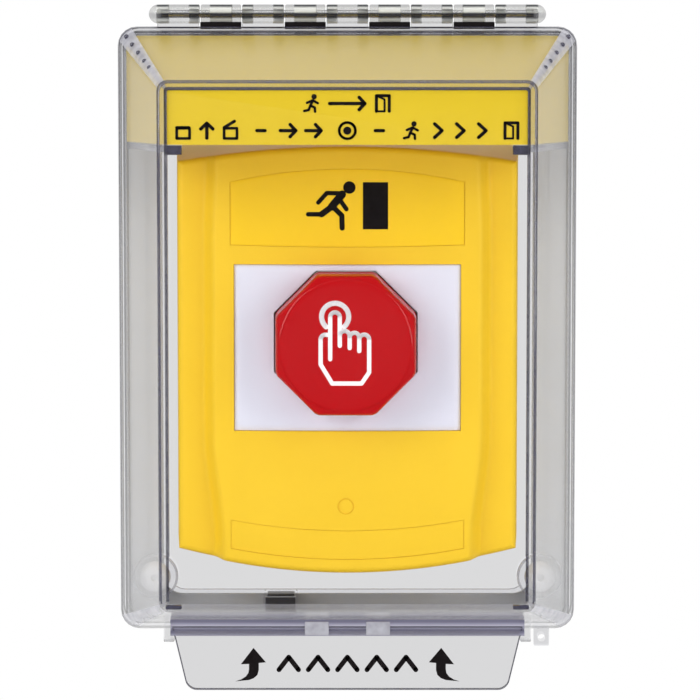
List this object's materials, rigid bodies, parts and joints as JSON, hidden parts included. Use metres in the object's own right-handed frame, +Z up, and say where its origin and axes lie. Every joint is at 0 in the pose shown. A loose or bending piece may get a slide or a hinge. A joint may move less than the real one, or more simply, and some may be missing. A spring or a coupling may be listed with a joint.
{
  "type": "push-to-exit button station with lift-up cover",
  "caption": "Wall-mounted push-to-exit station: octagonal red push button in a curved yellow housing under a clear hinged lift-up cover with a yellow label hood.",
  "frame": {"origin": "midway between the two wall-box screw holes, in the wall plane", "axes": "+X to the right seen from the front, +Z up, +Y into the wall; the front faces -Y"},
  "size_m": [0.144, 0.07, 0.2106],
  "materials": {
    "clear_cover": "clear polished polycarbonate",
    "clear_moulding": "clear polycarbonate with fine moulding flow marks",
    "clear_handle": "clear polycarbonate, slightly frosted",
    "seal_foam": "closed-cell foam",
    "stainless_pin": "ground stainless steel",
    "stainless_screw": "stainless steel",
    "white_screw": "pale domed screw head",
    "dark_magnet": "dark coated magnet",
    "zinc_plate": "zinc-plated sheet steel",
    "yellow_housing": "fine-textured moulded yellow",
    "yellow_label": "smooth yellow label plate",
    "yellow_hood": "smooth yellow printed sheet",
    "white_insert": "smooth white moulded plate",
    "red_button": "deep red gloss moulding",
    "natural_acetal": "natural acetal",
    "green_contact": "green moulded contact block",
    "red_contact": "red moulded contact block",
    "nickel_terminal": "nickel-plated brass",
    "chromed_lock": "chromed zinc",
    "black_plastic": "black moulded plastic",
    "spring_steel": "spring steel"
  },
  "bodies": {
    "station": {"mounting_frame": "clear_moulding", "frame_gasket": "seal_foam", "hinge_pin": "stainless_pin", "frame_screws": "white_screw", "closing_magnet": "dark_magnet", "back_plate": "zinc_plate", "housing": "yellow_housing", "housing_screws": "stainless_screw", "top_label_plate": "yellow_label", "lower_label_plate": "yellow_label", "button_surround": "white_insert", "switch_bracket": "zinc_plate", "bracket_screws": "stainless_screw", "guide_bush": "natural_acetal", "contact_block_left": "green_contact", "contact_block_right": "red_contact", "terminal_screws": "nickel_terminal", "lock_body": "chromed_lock", "lock_nut": "nickel_terminal", "return_spring": "spring_steel"},
    "cover": {"cover": "clear_cover", "label_hood": "yellow_hood", "lift_handle": "clear_handle", "striker_plate": "zinc_plate"},
    "button": {"button_cap": "red_button", "button_shaft": "stainless_pin", "shaft_clip": "spring_steel", "actuator_bar": "black_plastic", "contact_plungers": "natural_acetal"},
    "lock": {"lock_plug": "chromed_lock", "lock_cam": "zinc_plate"},
    "latch": {"reset_latch": "zinc_plate"}
  },
  "joints": [
    {"name": "cover_lift", "type": "hinge", "parent": "station", "child": "cover", "pos_m": [0, -0.008, 0.0993], "axis": [-1, 0, 0], "range_deg": [0, 110]},
    {"name": "button_press", "type": "slide", "parent": "station", "child": "button", "axis": [0, 1, 0], "range_m": [0, 0.005], "stiffness_N_per_m": 700, "springref_m": -0.004, "deforming": ["return_spring"]},
    {"name": "key_turn", "type": "hinge", "parent": "station", "child": "lock", "pos_m": [0, -0.02, -0.06], "axis": [0, 0, 1], "range_deg": [0, 90]},
    {"name": "latch_draw", "type": "slide", "parent": "station", "child": "latch", "axis": [0, 0, -1], "range_m": [0, 0.0031]}
  ],
  "couplings": [
    {"joint": "latch_draw", "follows": "key_turn", "m_per_rad": 0.0019099}
  ]
}
